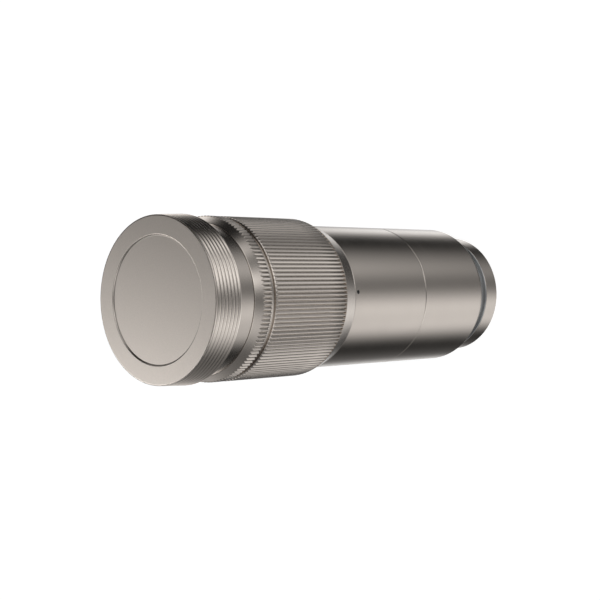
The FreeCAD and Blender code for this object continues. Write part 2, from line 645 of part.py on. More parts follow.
def rear_spacer():
    """The ring between the meniscus and the rear doublet."""
    return ring(REAR_SPACER_BORE, REAR_GLASS_RADIUS, REAR_SPACER_Z, REAR_DOUBLET_Z)


def rear_doublet_positive():
    """The rear half of the rear doublet, flat on its spacer."""
    bond = spherical_edge(REAR_BOND_CURVE, 1, REAR_BOND_VERTEX, REAR_GLASS_RADIUS)
    return lens(flat_edge(REAR_DOUBLET_Z, REAR_GLASS_RADIUS), bond)


def rear_doublet_negative():
    """The front half of the rear doublet, hollow on both sides."""
    bond = spherical_edge(REAR_BOND_CURVE, 1, REAR_BOND_VERTEX, REAR_GLASS_RADIUS)
    front = spherical_edge(REAR_CURVE_FRONT, -1, REAR_FRONT_VERTEX, REAR_GLASS_RADIUS)
    return lens(bond, front)


def rear_retaining_ring():
    """The notched ring that holds the rear lenses."""
    outer = REAR_RETAINER_RADIUS - THREAD_CLEARANCE
    front = REAR_RETAINER_Z + REAR_RETAINER_THICKNESS
    body = ring(REAR_RETAINER_RADIUS - RETAINER_WALL, outer, REAR_RETAINER_Z, front)
    return spanner_notches(body, outer, front, REAR_RETAINER_THICKNESS / 3)


def boss_screw_shank(index):
    """The round shank of one screw, at its place on the screw circle."""
    base = FreeCAD.Vector(BOSS_SCREW_CIRCLE, 0, FLANGE_PLATE_Z)
    shank = Part.makeCylinder(BOSS_SCREW_RADIUS, BOSS_SCREW_LENGTH, base)
    return about_axis(shank, 360 * index / BOSS_SCREW_COUNT)


def boss_screw_head(index):
    """The cone of one countersunk screw head."""
    height = BOSS_SCREW_HEAD_RADIUS - BOSS_SCREW_RADIUS
    base = FreeCAD.Vector(BOSS_SCREW_CIRCLE, 0, FLANGE_PLATE_Z)
    head = Part.makeCone(BOSS_SCREW_HEAD_RADIUS, BOSS_SCREW_RADIUS, height, base)
    return about_axis(head, 360 * index / BOSS_SCREW_COUNT)


def boss_screw(index):
    """A slotted countersunk screw that holds the threaded boss in the collar."""
    start = BOSS_SCREW_CIRCLE - BOSS_SCREW_HEAD_RADIUS
    slot = centred_box(2 * BOSS_SCREW_HEAD_RADIUS, SLOT_WIDTH, SLOT_DEPTH, start, FLANGE_PLATE_Z)
    slot = about_axis(slot, 360 * index / BOSS_SCREW_COUNT)
    return boss_screw_head(index).fuse(boss_screw_shank(index)).cut(slot)


def phone_thread_boss():
    """The flanged ring whose short male thread screws into the phone's case."""
    boss_z = FLANGE_PLATE_Z - BOSS_LENGTH
    bore = BOSS_RADIUS - BOSS_WALL
    plate = SOCKET_RADIUS - FLANGE_PLATE_CLEARANCE
    body = turned(
        (bore, boss_z),
        (BOSS_RADIUS - EDGE_BREAK, boss_z),
        (BOSS_RADIUS, boss_z + EDGE_BREAK),
        (BOSS_RADIUS, FLANGE_PLATE_Z),
        (plate, FLANGE_PLATE_Z),
        (plate, SOCKET_DEPTH),
        (bore, SOCKET_DEPTH),
    )
    cuts = []
    for index in range(BOSS_SCREW_COUNT):
        cuts.append(boss_screw_head(index))
        cuts.append(boss_screw_shank(index))
    return body.cut(cuts)


def cap_ridge_corners():
    """The profile of the cap's ridges with a V groove between each two, from the rear edge forwards."""
    crest = CAP_EDGE_RADIUS + CAP_RIDGE_STEP
    corners = [(CAP_EDGE_RADIUS, CAP_REAR_Z)]
    for index in range(CAP_GROOVE_COUNT + 1):
        middle = CAP_REAR_Z + CAP_END_RIDGE + index * CAP_RIDGE_PITCH
        if index:
            corners.append((crest - CAP_GROOVE_DEPTH, middle - CAP_RIDGE_PITCH / 2))
        corners.append((crest, middle - CAP_RIDGE_CREST / 2))
        corners.append((crest, middle + CAP_RIDGE_CREST / 2))
    return corners


def front_cap():
    """The slip-on cap: ridged edge, shallow round recess in its face, and a bore for the lining."""
    return turned(
        *cap_ridge_corners(),
        (CAP_EDGE_RADIUS, CAP_FACE_Z),
        (CAP_RECESS_RADIUS, CAP_FACE_Z),
        (CAP_RECESS_RADIUS - CAP_RECESS_SLOPE, CAP_FACE_Z - CAP_RECESS_DEPTH),
        (0, CAP_FACE_Z - CAP_RECESS_DEPTH),
        (0, CAP_INNER_Z),
        (CAP_BORE, CAP_INNER_Z),
        (CAP_BORE, CAP_REAR_Z),
    )


def cap_lining():
    """The felt ring glued in the cap's bore, which grips the front band."""
    rear = CAP_REAR_Z + EDGE_BREAK
    return ring(LINING_BORE, CAP_BORE, rear, rear + LINING_LENGTH)


def parts():
    """Every piece by its node's name."""
    pieces = {
        "front_cap": front_cap(),
        "cap_lining": cap_lining(),
        "objective_barrel": objective_barrel(),
        "front_retaining_ring": front_retaining_ring(),
        "front_element": front_element(),
        "objective_spacer": objective_spacer(),
        "doublet_crown": doublet_crown(),
        "doublet_flint": doublet_flint(),
        "cell_baffle": cell_baffle(),
        "focus_ring": focus_ring(),
        "main_barrel": main_barrel(),
        "index_mark": index_mark(),
        "clamp_ring": clamp_ring(),
        "friction_washer": friction_washer(),
        "stop_pin": stop_pin(),
        "seam_baffle": seam_baffle(),
        "rear_barrel": rear_barrel(),
        "mount_collar": mount_collar(),
        "rear_cell": rear_cell(),
        "rear_meniscus": rear_meniscus(),
        "rear_spacer": rear_spacer(),
        "rear_doublet_positive": rear_doublet_positive(),
        "rear_doublet_negative": rear_doublet_negative(),
        "rear_retaining_ring": rear_retaining_ring(),
        "phone_thread_boss": phone_thread_boss(),
    }
    for index, angle in enumerate(guide_screw_angles()):
        pieces[f"guide_screw_{index + 1}"] = guide_screw(angle)
    for index in range(BOSS_SCREW_COUNT):
        pieces[f"boss_screw_{index + 1}"] = boss_screw(index)
    return pieces


os.makedirs("parts", exist_ok=True)
for node, shape in parts().items():
    if len(shape.Solids) != 1 or not shape.isValid():
        print(f"{node}: {len(shape.Solids)} solids, valid {shape.isValid()}")
    shape.exportStep(f"parts/{node}.step")
print(f"overall length {CAP_FACE_Z:.2f} mm")
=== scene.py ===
"""Looks of a clip-on telephoto lens for a phone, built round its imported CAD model.

The lens stands on its rear collar, its optical axis along +Z. Lengths in this file are millimetres
until a mesh is made, where MM turns them into Blender's metres. A turned piece is a closed profile of
(radius, height) points carried round the axis; its columns are the angles, its rows the profile.
"""
import math

import bpy
import bmesh
import numpy as np
from mathutils import Matrix


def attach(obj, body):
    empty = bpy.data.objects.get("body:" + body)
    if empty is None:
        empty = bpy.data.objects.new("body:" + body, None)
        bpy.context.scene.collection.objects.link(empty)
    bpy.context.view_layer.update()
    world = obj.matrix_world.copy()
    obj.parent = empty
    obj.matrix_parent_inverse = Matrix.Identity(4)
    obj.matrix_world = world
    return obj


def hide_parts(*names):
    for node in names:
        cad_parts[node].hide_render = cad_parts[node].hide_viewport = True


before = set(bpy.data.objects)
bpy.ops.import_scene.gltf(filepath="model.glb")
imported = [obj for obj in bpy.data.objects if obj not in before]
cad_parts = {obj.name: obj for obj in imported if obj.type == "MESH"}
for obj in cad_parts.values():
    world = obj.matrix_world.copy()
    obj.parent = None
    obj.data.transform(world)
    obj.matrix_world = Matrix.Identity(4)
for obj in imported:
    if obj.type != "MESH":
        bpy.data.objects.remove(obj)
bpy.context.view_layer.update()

MM = 0.001
TAU = 2 * math.pi
SMOOTH_ANGLE = math.radians(33)
ROUND_STEPS = 4

# Heights along the axis, as in the part's source
COLLAR_FRONT = 6.5
BARREL_REAR = 12.0
SEAM = 44.6
RING_REAR = 80.3
GRIP_REAR = 86.4
GRIP_FRONT = 117.3
FRONT_GRIP = 119.3
FRONT_CONE = 122.35
RING_FRONT = 124.6
BAND_REAR = 124.8
CAP_REAR = 131.9
CAP_FACE = 141.4
CAP_INNER = 139.2
RIM = 138.9
FLANGE_REAR = 100.15
FLANGE_FRONT = 104.15
HELICOID_REAR = 107.9
SEAT = 111.6
SKIRT_REAR = 83.9
SKIRT_LIP = 85.5
KEYWAY_TOP = 100.5
FILTER_THREAD_REAR = 134.4
LENS_EDGE = 128.367
BOSS_REAR = 0.4
FLANGE_PLATE = 3.0
SOCKET = 4.6
END_WALL_FRONT = 16.0
SPIGOT_FRONT = 50.6

# Radii
BARREL_RADIUS = 22.4
BARREL_BORE = 20.0
SPIGOT_RADIUS = 20.98
END_WALL_BORE = 17.0
BAND_RADIUS = 22.5
SLEEVE_RADIUS = 21.5
RING_BORE = 21.55
FLANGE_BORE = 20.95
GRIP_RADIUS = 24.45
GRIP_ROOT = 24.03
GRIP_EDGE = 23.95
GROOVE_RADIUS = 23.45
REAR_CONE_RADIUS = 24.4
CAP_EDGE = 24.05
CAP_TAPER = 0.38
CAP_GROOVE = 24.2
CAP_CREST = 24.7
CAP_BORE = 23.18
CAP_RECESS = 18.7
CAP_RECESS_DEPTH = 0.36
SKIRT_RADIUS = 19.4
SKIRT_BORE = 18.0
SKIRT_LIP_RADIUS = 18.6
LENS_SEAT_RADIUS = 19.5
RETAINER_RADIUS = 20.0
FILTER_THREAD_RADIUS = 21.09
BOSS_RADIUS = 8.5
BOSS_BORE = 6.8
PLATE_RADIUS = 15.4

# Ribs, ridges and threads
RIB_COUNT = 120
RIB_CREST = 0.3
CAP_GROOVES = 7
CAP_END_RIDGE = 0.25
CAP_RECESS_WALL = 0.27
KEYWAY_COUNT = 3
KEYWAY_WIDTH = 2.1
HELICOID_PITCH = 1.5
HELICOID_STARTS = 8
HELICOID_DEPTH = 0.5
FINE_PITCH = 0.75
FILTER_THREAD_DEPTH = 0.41
BOSS_THREAD_DEPTH = 0.4

# Where the recess for the stop pin starts, how far it goes, and its margin at each end: the pin's radius
# and its clearance, over the radius it runs at
STOP_START = math.radians(30)
FOCUS_TURN = math.radians(150)
STOP_MARGIN = (1.0 + 0.3) / 20.9


# Meshes

def rounded(corners, cut, steps=ROUND_STEPS, support=0.12):
    """Points and edge marks of a closed profile whose corners are rounded.

    Each corner becomes a quadratic curve that starts and ends one cut from it along its two sides,
    (1-s)^2 start + 2s(1-s) corner + s^2 end, with one more point beyond each end that keeps the flats
    flat. The mark is 1 on an outer corner's curve, -1 on an inner corner's and 0 at the added points.
    """
    corner = np.asarray(corners, float)
    to_last = np.roll(corner, 1, axis=0) - corner
    to_next = np.roll(corner, -1, axis=0) - corner
    reach_last = np.linalg.norm(to_last, axis=1, keepdims=True)
    reach_next = np.linalg.norm(to_next, axis=1, keepdims=True)
    to_last /= reach_last
    to_next /= reach_next
    reach = np.minimum(reach_last, reach_next) * 0.42
    cut = np.minimum(np.broadcast_to(np.asarray(cut, float), (len(corner),))[:, None], reach)
    beyond = np.minimum(cut + support, reach + 0.02)
    start = corner + to_last * cut
    end = corner + to_next * cut
    s = np.linspace(0, 1, steps)[None, :, None]
    curve = (1 - s) ** 2 * start[:, None] + 2 * s * (1 - s) * corner[:, None] + s ** 2 * end[:, None]
    first = (corner + to_last * beyond)[:, None]
    last = (corner + to_next * beyond)[:, None]
    points = np.concatenate([first, curve, last], axis=1)
    area = np.sum(corner[:, 0] * np.roll(corner[:, 1], -1) - np.roll(corner[:, 0], -1) * corner[:, 1])
    side = np.sign((to_last[:, 0] * to_next[:, 1] - to_last[:, 1] * to_next[:, 0]) * area)
    marks = np.zeros(points.shape[:2])
    # an inner corner's -1 becomes painted shade in the metals, an outer corner's 1 becomes wear
    marks[:, 1:-1] = -side[:, None]
    return points.reshape(-1, 2), marks.reshape(-1)


def angles_around(columns, extra=()):
    """Even angles round the axis, with extra ones sorted in."""
    even = np.linspace(0, TAU, columns, endpoint=False)
    return np.unique(np.round(np.concatenate([even, np.mod(np.asarray(extra, float), TAU)]), 7))


def grid_piece(name, radius, height, angle, marks):
    """A closed piece from arrays of rows (round the profile) by columns (round the axis).

    A point is (radius cos angle, radius sin angle, height). Faces join each row to the next and each
    column to the next, the last to the first, and are turned over if the volume they close is negative.
    """
    rows, columns = radius.shape
    points = np.stack([radius * np.cos(angle), radius * np.sin(angle), height], axis=-1) * MM
    index = np.arange(rows * columns).reshape(rows, columns)
    right = np.roll(index, -1, axis=1)
    faces = np.stack([index, right, np.roll(right, -1, axis=0), np.roll(index, -1, axis=0)], axis=-1)
    faces = faces.reshape(-1, 4)
    flat = points.reshape(-1, 3)
    a, b, c, d = (flat[faces[:, k]] for k in range(4))
    volume = np.sum(np.cross(b - a, c - a) * a) + np.sum(np.cross(c - a, d - a) * a)
    if volume < 0:
        faces = faces[:, ::-1]
    mesh = bpy.data.meshes.new(name)
    mesh.from_pydata(flat, [], faces)
    attribute = mesh.attributes.new("edge", "FLOAT", "POINT")
    attribute.data.foreach_set("value", np.broadcast_to(marks, (rows, columns)).astype(np.float32).ravel())
    clean = bmesh.new()
    clean.from_mesh(mesh)
    bmesh.ops.remove_doubles(clean, verts=clean.verts, dist=2e-7)
    bmesh.ops.dissolve_degenerate(clean, edges=clean.edges, dist=1e-7)
    clean.to_mesh(mesh)
    clean.free()
    mesh.shade_smooth()
    mesh.set_sharp_from_angle(angle=SMOOTH_ANGLE)
    piece = bpy.data.objects.new(name, mesh)
    bpy.context.scene.collection.objects.link(piece)
    return piece


def spread(points, marks, angle):
    """A profile's radii, heights and marks, each repeated over the columns of a grid."""
    lists = (points[:, 0], points[:, 1], marks)
    return tuple(np.repeat(values[:, None], len(angle), axis=1) for values in lists)


def turned_piece(name, points, marks, columns=288):
    """A closed profile carried round the axis."""
    angle = angles_around(columns)
    radius, height, mark = spread(points, marks, angle)
    return grid_piece(name, radius, height, angle[None, :], mark)


def threaded(points, marks, corner, radius, heights):
    """A profile with a row added for each height of a thread, in front of one of its corners.

    Also gives the slice of the added rows. Each corner has ROUND_STEPS points and two beyond them.
    """
    at = corner * (ROUND_STEPS + 2)
    rows = np.stack([np.full_like(heights, radius), heights], axis=1)
    points = np.concatenate([points[:at], rows, points[at:]])
    marks = np.concatenate([marks[:at], 0 * heights, marks[at:]])
    return points, marks, slice(at, at + len(heights))


def thread_depth(height, angle, pitch, starts, first, last, fade):
    """How far along the flank of a thread each point is, from 0 on the crest to 1 at the root.

    The wave rises and falls once a pitch along the height and once a start round the axis, its crests
    and roots are cut flat, and it fades out towards its first and last heights.
    """
    phase = np.mod(height / pitch - starts * angle / TAU, 1)
    wave = np.clip(np.abs(phase - 0.5) * 3.2 - 0.3, 0, 1)
    end = np.clip((height - first) / fade, 0, 1) * np.clip((last - height) / fade, 0, 1)
    return wave * end


def make_front_cap():
    """The cap: ridges with round crests and round grooves between them, and the stepped face.

    Along the height the radius swings between the groove's and the crest's as a cosine whose crests
    are broadened, (1 + cos)/2 to the power 0.8, less a taper that grows evenly towards the face. The
    end ridges fall off to the end faces.
    """
    pitch = (CAP_FACE - CAP_REAR - 2 * CAP_END_RIDGE) / CAP_GROOVES
    wave = np.linspace(0, CAP_GROOVES, CAP_GROOVES * 16 + 1)
    swing = (0.5 + 0.5 * np.cos(TAU * wave)) ** 0.8
    height = CAP_REAR + CAP_END_RIDGE + pitch * wave
    radius = CAP_GROOVE + (CAP_CREST - CAP_GROOVE) * swing - CAP_TAPER * wave / CAP_GROOVES
    rear = [(CAP_EDGE + 0.25, CAP_REAR), (CAP_EDGE + 0.4, CAP_REAR + 0.015),
            (CAP_CREST - 0.14, CAP_REAR + 0.06), (CAP_CREST - 0.045, CAP_REAR + 0.13)]
    crest = CAP_CREST - CAP_TAPER
    front = [(crest - 0.03, CAP_FACE - 0.15), (crest - 0.09, CAP_FACE - 0.07),
             (crest - 0.16, CAP_FACE - 0.02), (crest - 0.25, CAP_FACE)]
    edge = np.concatenate([rear, np.stack([radius, height], axis=1), front])
    # edge marks: worn on the end corners and crests, painted shade in the grooves
    shade = np.concatenate([[0, 0.5, 0.8, 0.6], np.clip(swing * 1.7 - 0.9, -0.6, 0.5), [0.6, 0.8, 0.5, 0]])
    floor = CAP_FACE - CAP_RECESS_DEPTH
    inner, outer = 4.0, 8.0
    inside = [
        (CAP_EDGE - 0.02, CAP_FACE), (CAP_RECESS, CAP_FACE), (CAP_RECESS - CAP_RECESS_WALL, floor),
        (inner, floor), (inner, CAP_INNER), (CAP_BORE, CAP_INNER), (CAP_BORE, CAP_REAR),
        (CAP_EDGE - 0.02, CAP_REAR),
    ]
    rest, marks = rounded(inside, [0.05, 0.06, 0.08, 0.01, 0.01, 0.2, 0.12, 0.03])
    # the flat middle of the face closes at the axis
    middle = np.argmin(np.abs(rest[:, 0] - inner) + np.abs(rest[:, 1] - floor))
    row = np.arange(len(rest))
    face = (row < middle) & (rest[:, 0] > outer)
    back = (row >= middle) & (rest[:, 0] > inner)
    axis = np.array([(outer, floor), (2.0, floor), (0.0, floor), (0.0, CAP_INNER), (2.0, CAP_INNER)])
    points = np.concatenate([edge, rest[face], axis, rest[back]])
    marks = np.concatenate([shade, marks[face], np.zeros(len(axis)), marks[back]])
    return turned_piece("cap_shell", points, marks, 360)


def rib_profile():
    """Angles and radii round the grip: each rib is a V with a narrow rounded crest.

    The radius falls with a slope of one flank from the crest's edge to the root, and the crest is an
    arc through its edges. The middle of the first rib is half a pitch from +X.
    """
    half = TAU / RIB_COUNT / 2
    crest = RIB_CREST / 2 / GRIP_RADIUS
    edge = crest / half
    share = np.array([-1.0, -0.93, -0.6, -edge - 0.08, -edge, -edge + 0.1, 0.0,
                      edge - 0.1, edge, edge + 0.08, 0.6, 0.93])
    offset = share * half
    slope = (GRIP_RADIUS - GRIP_ROOT) / (half - crest)
    radius = GRIP_RADIUS - slope * np.maximum(np.abs(offset) - crest, 0)
    radius = np.where(np.abs(np.abs(share) - edge) < 1e-6, radius - 0.02, radius)
    radius = np.where(np.abs(share) > 0.99, GRIP_ROOT + 0.02, radius)
    mark = np.clip(1 - np.abs(share) / (edge + 0.1), 0, 1)
    # the roots are marked -1, painted shade in the valleys
    mark = np.where(np.abs(share) > 0.9, -1.0, mark)
    angle = ((np.arange(RIB_COUNT)[:, None] + 0.5) * 2 * half + offset).ravel()
    return angle, np.tile(radius, RIB_COUNT), np.tile(mark, RIB_COUNT)


def make_focus_ring():
    """The focus ring: every column is its own profile, so the V grooves run out on the cones exactly.

    On a grip the radius is the rib's own. The rib stops where it meets the end cone, at the height
    where the cone's radius equals the rib's.
    """
    angle, rib, rib_mark = rib_profile()
    one = np.ones_like(rib)
    rows = []

    def row(radius, height, mark=0.0):
        rows.append((radius * one, height * one, mark * one))

    def rib_row(radius, height, share=1.0):
        rows.append((radius * one, height * one, rib_mark * share))

    # rear cone, from its thin edge at the barrel to its shoulder
    row(RING_BORE, RING_REAR + 0.3)
    row(RING_BORE + 0.05, RING_REAR + 0.02)
    row(BARREL_RADIUS + 0.02, RING_REAR, 0.6)
    row(BARREL_RADIUS + 0.12, RING_REAR + 0.04, 1.0)
    row(BARREL_RADIUS + 0.18, RING_REAR + 0.22)
    row((BARREL_RADIUS + REAR_CONE_RADIUS) / 2, (RING_REAR + GRIP_REAR) / 2)
    row(REAR_CONE_RADIUS - 0.05, GRIP_REAR - 0.18)
    row(REAR_CONE_RADIUS - 0.015, GRIP_REAR - 0.06, 0.7)
    row(REAR_CONE_RADIUS - 0.03, GRIP_REAR - 0.01, 1.0)
    rib_row(np.minimum(rib, REAR_CONE_RADIUS - 0.07), GRIP_REAR, 0.0)
    # long grip
    rib_row(np.minimum(rib, REAR_CONE_RADIUS - 0.05), GRIP_REAR + 0.01, 0.3)
    rib_row(rib - 0.03, GRIP_REAR + 0.05)
    rib_row(rib, GRIP_REAR + 0.14)
    for share in (0.25, 0.5, 0.75):
        rib_row(rib, GRIP_REAR + (GRIP_FRONT - GRIP_REAR) * share)
    stop = GRIP_FRONT - np.maximum(rib - GRIP_EDGE, 0)
    rib_row(rib, stop - 0.14)
    rib_row(rib, stop - 0.05)
    rib_row(np.minimum(rib, GRIP_EDGE + (GRIP_FRONT - stop)) - 0.015, stop, 0.9)
    rib_row(np.minimum(rib, GRIP_EDGE + 0.06), GRIP_FRONT - 0.06, 0.7)
    rib_row(np.minimum(rib, GRIP_EDGE) - 0.03, GRIP_FRONT, 0.5)
    # plain groove, its inner corners marked -1 for painted shade
    row(GROOVE_RADIUS + 0.12, GRIP_FRONT)
    row(GROOVE_RADIUS + 0.02, GRIP_FRONT + 0.03, -1.0)
    row(GROOVE_RADIUS, GRIP_FRONT + 0.13)
    row(GROOVE_RADIUS, FRONT_GRIP - 0.13)
    row(GROOVE_RADIUS + 0.02, FRONT_GRIP - 0.03, -1.0)
    row(GROOVE_RADIUS + 0.12, FRONT_GRIP)
    # short grip, cut to the front cone
    rib_row(rib - 0.09, FRONT_GRIP, 0.6)
    rib_row(rib - 0.025, FRONT_GRIP + 0.03, 0.9)
    rib_row(rib, FRONT_GRIP + 0.12)
    slope = (GRIP_RADIUS - BAND_RADIUS) / (RING_FRONT - FRONT_CONE)
    stop = RING_FRONT - (rib - BAND_RADIUS) / slope
    rib_row(rib, stop - 0.12)
    rib_row(rib, stop - 0.045)
    rib_row(rib - 0.012, stop, 0.8)
    rib_row(rib - 0.045 * slope, stop + 0.045, 0.8)
    rib_row(rib - 0.12 * slope, stop + 0.12, 0.2)
    valley = RING_FRONT - (GRIP_ROOT - BAND_RADIUS) / slope + 0.14
    row(BAND_RADIUS + (RING_FRONT - valley) * slope, valley)
    row(BAND_RADIUS + 0.15, RING_FRONT - 0.15 / slope)
    row(BAND_RADIUS + 0.03, RING_FRONT - 0.04, 1.0)
    row(BAND_RADIUS - 0.04, RING_FRONT, 0.6)
    row(BAND_RADIUS - 0.2, RING_FRONT)
    # bore, with the flange and its stop recess
    row(RING_BORE + 0.1, RING_FRONT)
    row(RING_BORE, RING_FRONT - 0.1)
    row(RING_BORE, FLANGE_FRONT + 0.05)
    row(RING_BORE, FLANGE_FRONT)
    from_start = np.mod(angle - (STOP_START - STOP_MARGIN), TAU)
    flange = np.where(from_start < FOCUS_TURN + 2 * STOP_MARGIN, RING_BORE - 0.001, FLANGE_BORE)
    row(flange, FLANGE_FRONT)
    row(flange, FLANGE_REAR)
    row(RING_BORE, FLANGE_REAR)
    row(RING_BORE, FLANGE_REAR - 0.05)
    radius, height, marks = (np.stack(values) for values in zip(*rows))
    return grid_piece("focus_ring_knurled", radius, height, angle[None, :], marks)


def make_rear_barrel():
    """The rear half of the smooth barrel: a slanted rear edge and a polished front edge at the seam."""
    points, marks = rounded(
        [(END_WALL_BORE, BARREL_REAR), (BARREL_RADIUS - 1.1, BARREL_REAR),
         (BARREL_RADIUS - 0.8, BARREL_REAR + 0.12), (BARREL_RADIUS, BARREL_REAR + 1.7),
         (BARREL_RADIUS, SEAM - 0.36), (BARREL_RADIUS - 0.32, SEAM), (SPIGOT_RADIUS, SEAM),
         (SPIGOT_RADIUS, SPIGOT_FRONT), (BARREL_BORE, SPIGOT_FRONT), (BARREL_BORE, END_WALL_FRONT),
         (END_WALL_BORE, END_WALL_FRONT)],
        [0.05, 0.05, 0.15, 0.3, 0.05, 0.05, 0.05, 0.15, 0.15, 0.3, 0.05], steps=6,
    )
    seam = (points[:, 1] > SEAM - 0.45) & (points[:, 1] < SEAM + 0.01) & (points[:, 0] > BARREL_RADIUS - 0.4)
    return turned_piece("barrel_rear_turned", points, np.where(seam, 1.0, marks * 0.4), 360)


def make_objective_barrel():
    """The focusing barrel: skirt with keyways, many-start helicoid, lens seat, filter thread and band.

    In a keyway's columns the skirt's rear end stands forward, at the keyway's top. The helicoid's
    radius is the sleeve's less a wave along the helix, and the filter thread's is its bore plus one.
    """
    half = KEYWAY_WIDTH / 2 / SKIRT_RADIUS
    centres = math.radians(90) + np.arange(KEYWAY_COUNT) * TAU / KEYWAY_COUNT
    walls = (centres[:, None] + np.array([-half - 0.0008, -half, half, half + 0.0008])).ravel()
    angle = angles_around(288, walls)
    away = np.abs(np.mod(angle[:, None] - centres + math.pi, TAU) - math.pi).min(axis=1)
    in_keyway = away <= half + 1e-6
    points, marks = rounded(
        [(SKIRT_LIP_RADIUS, SKIRT_REAR), (SKIRT_RADIUS, SKIRT_REAR), (SKIRT_RADIUS, HELICOID_REAR),
         (SLEEVE_RADIUS - 0.05, HELICOID_REAR), (SLEEVE_RADIUS - 0.05, BAND_REAR), (BAND_RADIUS, BAND_REAR),
         (BAND_RADIUS, RIM), (FILTER_THREAD_RADIUS, RIM), (FILTER_THREAD_RADIUS, FILTER_THREAD_REAR),
         (RETAINER_RADIUS, FILTER_THREAD_REAR - 1.09), (RETAINER_RADIUS, LENS_EDGE),
         (LENS_SEAT_RADIUS, LENS_EDGE), (LENS_SEAT_RADIUS, SEAT), (SKIRT_BORE, SEAT),
         (SKIRT_BORE, SKIRT_LIP), (SKIRT_LIP_RADIUS, SKIRT_LIP)],
        [0.05, 0.1, 0.2, 0.25, 0.05, 0.09, 0.3, 0.25, 0.05, 0.05, 0.03, 0.05, 0.03, 0.2, 0.05, 0.05],
    )
    # the filter thread lies further along the profile, so its rows go in first
    heights = np.arange(RIM - 0.2, FILTER_THREAD_REAR + 0.15, -0.075)
    points, marks, inside = threaded(points, marks, 8, FILTER_THREAD_RADIUS, heights)
    heights = np.arange(HELICOID_REAR + 0.5, BAND_REAR - 0.6, 0.14)
    points, marks, outside = threaded(points, marks, 4, SLEEVE_RADIUS - 0.05, heights)
    inside = slice(inside.start + len(heights), inside.stop + len(heights))
    radius, height, mark = spread(points, marks, angle)
    depth = thread_depth(height[outside], angle, HELICOID_PITCH, HELICOID_STARTS,
                         HELICOID_REAR + 0.6, BAND_REAR - 0.7, 0.5)
    radius[outside] -= HELICOID_DEPTH * depth
    # the helicoid's roots are marked down to -0.5, painted shade in the metal, and its crests up to 0.5, worn
    mark[outside] = 0.5 - depth
    depth = thread_depth(height[inside], angle, FINE_PITCH, 1, FILTER_THREAD_REAR + 0.2, RIM - 0.2, 0.3)
    radius[inside] += FILTER_THREAD_DEPTH * depth
    # the filter thread's roots likewise get painted shade
    mark[inside] = 0.5 - depth
    skirt = (radius < SKIRT_RADIUS + 0.01) & (height < KEYWAY_TOP)
    height = np.where(skirt & in_keyway[None, :], KEYWAY_TOP, height)
    return grid_piece("objective_barrel_turned", radius, height, angle[None, :], mark)


def make_thread_boss():
    """The threaded boss: a plate with a short tube, whose radius is the boss's less a one-start wave."""
    points, marks = rounded(
        [(BOSS_BORE, BOSS_REAR), (BOSS_RADIUS, BOSS_REAR), (BOSS_RADIUS, FLANGE_PLATE),
         (PLATE_RADIUS, FLANGE_PLATE), (PLATE_RADIUS, SOCKET), (BOSS_BORE, SOCKET)],
        [0.15, 0.25, 0.05, 0.15, 0.05, 0.05],
    )
    heights = np.arange(BOSS_REAR + 0.35, FLANGE_PLATE - 0.2, 0.07)
    points, marks, cut = threaded(points, marks, 2, BOSS_RADIUS, heights)
    angle = angles_around(192)
    radius, height, mark = spread(points, marks, angle)
    depth = thread_depth(height[cut], angle, FINE_PITCH, 1, BOSS_REAR + 0.3, FLANGE_PLATE - 0.3, 0.3)
    radius[cut] -= BOSS_THREAD_DEPTH * depth
    mark[cut] = 0.5 - depth
    return grid_piece("boss_threaded", radius, height, angle[None, :], mark)


# Materials

def group(name, inputs, outputs):
    """An empty shader node group with named value or vector inputs and outputs."""
    tree = bpy.data.node_groups.new(name, "ShaderNodeTree")
    for label, kind, value in inputs:
        socket = tree.interface.new_socket(label, in_out="INPUT", socket_type="NodeSocket" + kind)
        if value is not None:
            socket.default_value = value
    for label, kind in outputs:
        tree.interface.new_socket(label, in_out="OUTPUT", socket_type="NodeSocket" + kind)
    return tree, tree.nodes.new("NodeGroupInput"), tree.nodes.new("NodeGroupOutput")


def node(tree, kind, inputs=None, **settings):
    """A node with its settings, and its inputs set to a value or linked to a socket."""
    made = tree.nodes.new(kind)
    for key, value in settings.items():
        setattr(made, key, value)
    for key, value in (inputs or {}).items():
        if isinstance(value, bpy.types.NodeSocket):
            tree.links.new(value, made.inputs[key])
        else:
            made.inputs[key].default_value = value
    return made


def maths(tree, operation, a, b=0.0, clamp=False):
    """The result of one maths operation."""
    return node(tree, "ShaderNodeMath", {0: a, 1: b}, operation=operation, use_clamp=clamp).outputs[0]


def ramped(tree, value, low, high, to_low=0.0, to_high=1.0, smooth=False):
    """A value carried from one range to another and kept inside it."""
    kind = "SMOOTHSTEP" if smooth else "LINEAR"
    made = node(tree, "ShaderNodeMapRange", {0: value, 1: low, 2: high, 3: to_low, 4: to_high},
                interpolation_type=kind)
    return made.outputs[0]


def mixed(tree, share, a, b):
    """Two colours mixed by a share; the mix node's colour sockets are inputs 6 and 7 and output 2."""
    return node(tree, "ShaderNodeMix", {0: share, 6: a, 7: b}, data_type="RGBA").outputs[2]


